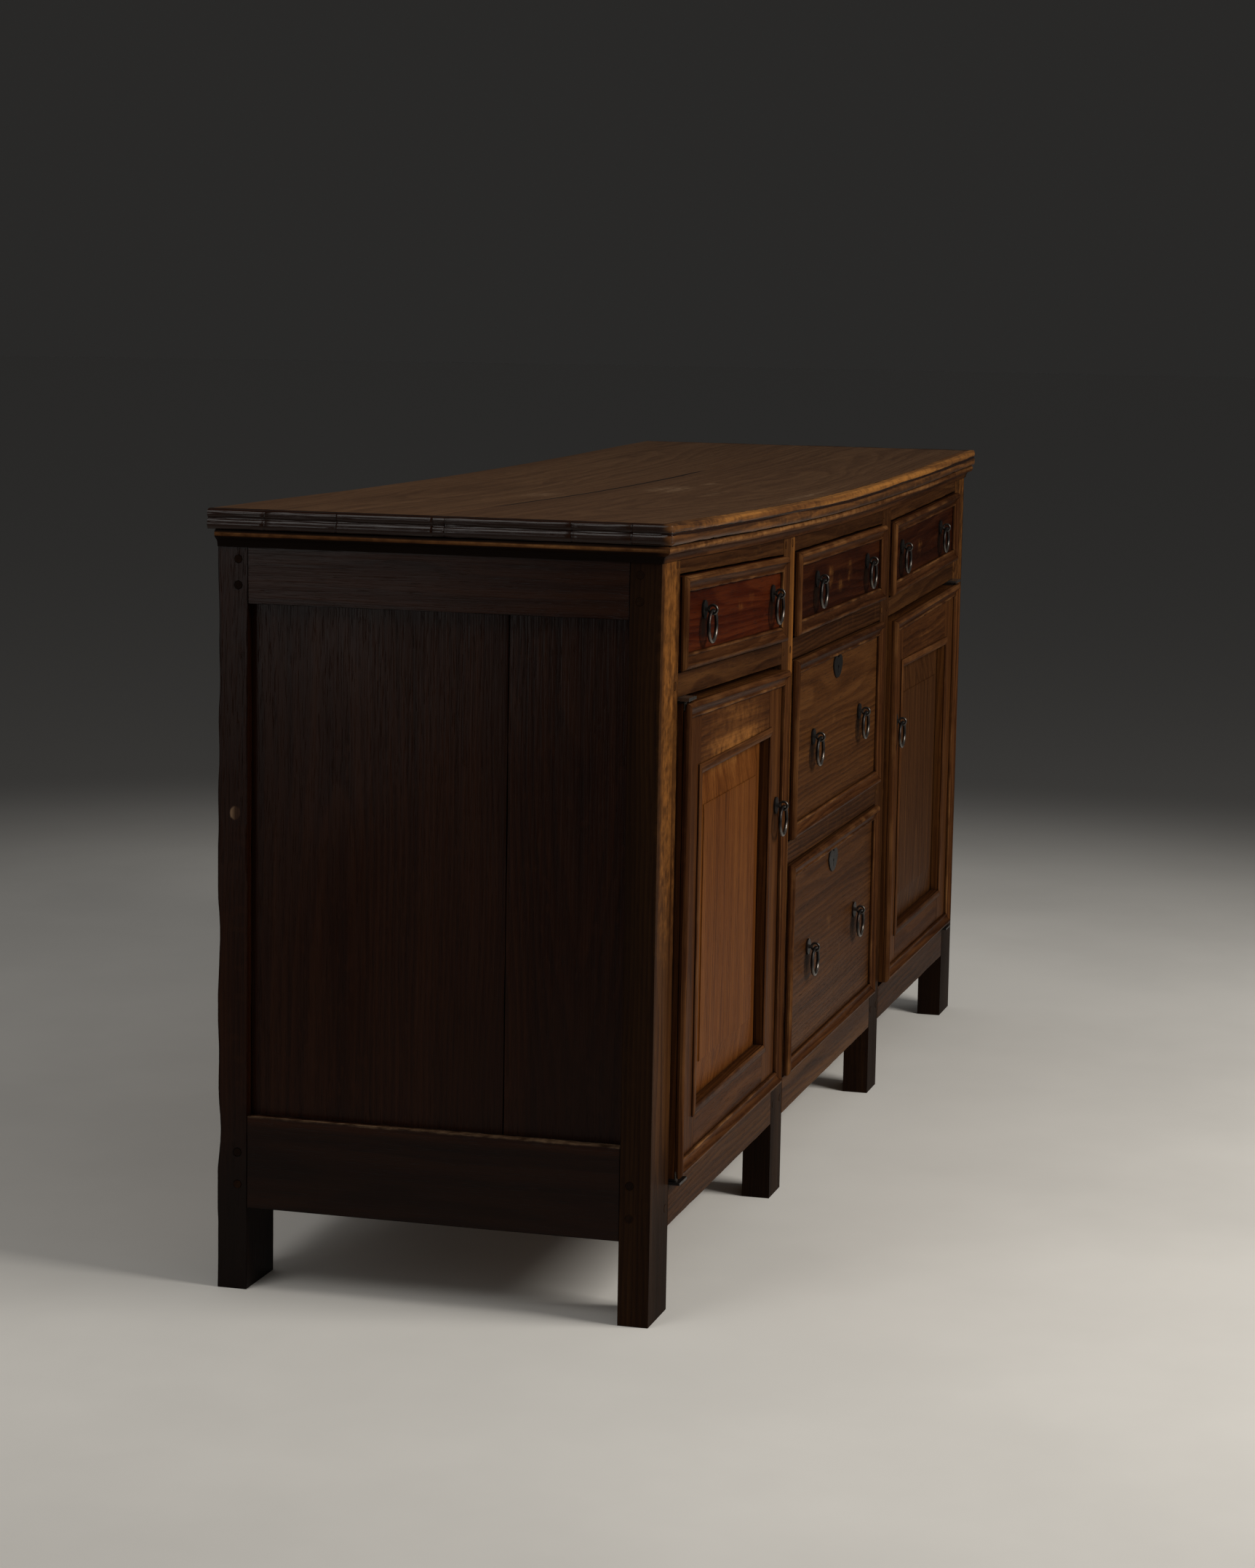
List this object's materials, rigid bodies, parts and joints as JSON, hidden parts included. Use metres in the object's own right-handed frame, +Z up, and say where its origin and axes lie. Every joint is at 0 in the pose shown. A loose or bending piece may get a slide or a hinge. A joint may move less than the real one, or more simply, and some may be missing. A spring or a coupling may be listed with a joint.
{
  "type": "dresser base",
  "caption": "Long low joined oak dresser base with frieze drawers over panelled doors and deep centre drawers, iron ring pulls, a moulded top and stile feet.",
  "frame": {"origin": "on the floor under the middle of the whole piece's box", "axes": "+X along the front to the viewer's right, the front faces -Y, +Z up"},
  "size_m": [1.804, 0.5192, 0.8544],
  "materials": {
    "top_oak": "waxed, worn pale along the front edge",
    "frame_oak": "waxed and darkened with age",
    "end_oak": "waxed, dark and dry",
    "drawer_oak": "polished red-brown, worn golden by the pulls",
    "door_oak": "waxed golden brown",
    "moulding_oak": "waxed, worn pale on the edges",
    "inner_oak": "bare and dusty",
    "iron": "black with age, polished by hands"
  },
  "bodies": {
    "carcase": {"back_boards": "inner_oak", "back_rails": "inner_oak", "cornice_moulding": "moulding_oak", "door_pivots": "iron", "drawer_runners": "inner_oak", "end_panels": "end_oak", "end_rails": "end_oak", "floor_boards": "inner_oak", "front_bottom_rails": "frame_oak", "front_drawer_rails": "frame_oak", "front_left_stile": "frame_oak", "front_right_stile": "frame_oak", "front_top_rails": "frame_oak", "inner_stiles": "frame_oak", "joint_pegs": "frame_oak", "partitions": "inner_oak", "rear_stiles": "end_oak", "top_front_board": "top_oak", "top_nosing": "top_oak", "top_rear_board": "top_oak"},
    "left_drawer": {"left_drawer_front": "drawer_oak", "left_drawer_moulding": "moulding_oak", "left_drawer_box": "inner_oak", "left_drawer_ironwork": "iron"},
    "centre_drawer": {"centre_drawer_front": "drawer_oak", "centre_drawer_moulding": "moulding_oak", "centre_drawer_box": "inner_oak", "centre_drawer_ironwork": "iron"},
    "right_drawer": {"right_drawer_front": "drawer_oak", "right_drawer_moulding": "moulding_oak", "right_drawer_box": "inner_oak", "right_drawer_ironwork": "iron"},
    "upper_deep_drawer": {"upper_deep_drawer_front": "drawer_oak", "upper_deep_drawer_moulding": "moulding_oak", "upper_deep_drawer_box": "inner_oak", "upper_deep_drawer_ironwork": "iron"},
    "lower_deep_drawer": {"lower_deep_drawer_front": "drawer_oak", "lower_deep_drawer_moulding": "moulding_oak", "lower_deep_drawer_box": "inner_oak", "lower_deep_drawer_ironwork": "iron"},
    "left_door": {"left_door_frame": "door_oak", "left_door_panel": "door_oak", "left_door_moulding": "moulding_oak", "left_door_ironwork": "iron"},
    "right_door": {"right_door_frame": "door_oak", "right_door_panel": "door_oak", "right_door_moulding": "moulding_oak", "right_door_ironwork": "iron"},
    "centre_drawer_left_ring": {"centre_drawer_left_ring": "iron"},
    "centre_drawer_right_ring": {"centre_drawer_right_ring": "iron"},
    "left_door_ring": {"left_door_ring": "iron"},
    "left_drawer_left_ring": {"left_drawer_left_ring": "iron"},
    "left_drawer_right_ring": {"left_drawer_right_ring": "iron"},
    "lower_deep_drawer_left_ring": {"lower_deep_drawer_left_ring": "iron"},
    "lower_deep_drawer_right_ring": {"lower_deep_drawer_right_ring": "iron"},
    "right_door_ring": {"right_door_ring": "iron"},
    "right_drawer_left_ring": {"right_drawer_left_ring": "iron"},
    "right_drawer_right_ring": {"right_drawer_right_ring": "iron"},
    "upper_deep_drawer_left_ring": {"upper_deep_drawer_left_ring": "iron"},
    "upper_deep_drawer_right_ring": {"upper_deep_drawer_right_ring": "iron"}
  },
  "joints": [
    {"name": "left_drawer_slide", "type": "slide", "parent": "carcase", "child": "left_drawer", "axis": [0, -1, 0], "range_m": [0, 0.3]},
    {"name": "centre_drawer_slide", "type": "slide", "parent": "carcase", "child": "centre_drawer", "axis": [0, -1, 0], "range_m": [0, 0.3]},
    {"name": "right_drawer_slide", "type": "slide", "parent": "carcase", "child": "right_drawer", "axis": [0, -1, 0], "range_m": [0, 0.3]},
    {"name": "upper_deep_drawer_slide", "type": "slide", "parent": "carcase", "child": "upper_deep_drawer", "axis": [0, -1, 0], "range_m": [0, 0.3]},
    {"name": "lower_deep_drawer_slide", "type": "slide", "parent": "carcase", "child": "lower_deep_drawer", "axis": [0, -1, 0], "range_m": [0, 0.3]},
    {"name": "left_door_swing", "type": "hinge", "parent": "carcase", "child": "left_door", "pos_m": [-0.808, -0.2434, 0.138], "axis": [0, 0, -1], "range_deg": [0, 105]},
    {"name": "right_door_swing", "type": "hinge", "parent": "carcase", "child": "right_door", "pos_m": [0.808, -0.2434, 0.138], "axis": [0, 0, 1], "range_deg": [0, 105]},
    {"name": "centre_drawer_left_ring_lift", "type": "hinge", "parent": "centre_drawer", "child": "centre_drawer_left_ring", "pos_m": [-0.1445, -0.2484, 0.7393], "axis": [-1, 0, 0], "range_deg": [0, 150]},
    {"name": "centre_drawer_right_ring_lift", "type": "hinge", "parent": "centre_drawer", "child": "centre_drawer_right_ring", "pos_m": [0.1625, -0.2484, 0.7393], "axis": [-1, 0, 0], "range_deg": [0, 150]},
    {"name": "left_door_ring_lift", "type": "hinge", "parent": "left_door", "child": "left_door_ring", "pos_m": [-0.3665, -0.2534, 0.4883], "axis": [-1, 0, 0], "range_deg": [0, 150]},
    {"name": "left_drawer_left_ring_lift", "type": "hinge", "parent": "left_drawer", "child": "left_drawer_left_ring", "pos_m": [-0.713, -0.2484, 0.75039], "axis": [-1, 0, 0], "range_deg": [0, 150]},
    {"name": "left_drawer_right_ring_lift", "type": "hinge", "parent": "left_drawer", "child": "left_drawer_right_ring", "pos_m": [-0.387, -0.2484, 0.74107], "axis": [-1, 0, 0], "range_deg": [0, 150]},
    {"name": "lower_deep_drawer_left_ring_lift", "type": "hinge", "parent": "lower_deep_drawer", "child": "lower_deep_drawer_left_ring", "pos_m": [-0.144, -0.2484, 0.2783], "axis": [-1, 0, 0], "range_deg": [0, 150]},
    {"name": "lower_deep_drawer_right_ring_lift", "type": "hinge", "parent": "lower_deep_drawer", "child": "lower_deep_drawer_right_ring", "pos_m": [0.136, -0.2484, 0.2783], "axis": [-1, 0, 0], "range_deg": [0, 150]},
    {"name": "right_door_ring_lift", "type": "hinge", "parent": "right_door", "child": "right_door_ring", "pos_m": [0.3665, -0.2534, 0.5033], "axis": [-1, 0, 0], "range_deg": [0, 150]},
    {"name": "right_drawer_left_ring_lift", "type": "hinge", "parent": "right_drawer", "child": "right_drawer_left_ring", "pos_m": [0.403, -0.2484, 0.74153], "axis": [-1, 0, 0], "range_deg": [0, 150]},
    {"name": "right_drawer_right_ring_lift", "type": "hinge", "parent": "right_drawer", "child": "right_drawer_right_ring", "pos_m": [0.693, -0.2484, 0.74981], "axis": [-1, 0, 0], "range_deg": [0, 150]},
    {"name": "upper_deep_drawer_left_ring_lift", "type": "hinge", "parent": "upper_deep_drawer", "child": "upper_deep_drawer_left_ring", "pos_m": [-0.144, -0.2484, 0.5433], "axis": [-1, 0, 0], "range_deg": [0, 150]},
    {"name": "upper_deep_drawer_right_ring_lift", "type": "hinge", "parent": "upper_deep_drawer", "child": "upper_deep_drawer_right_ring", "pos_m": [0.136, -0.2484, 0.5433], "axis": [-1, 0, 0], "range_deg": [0, 150]}
  ]
}
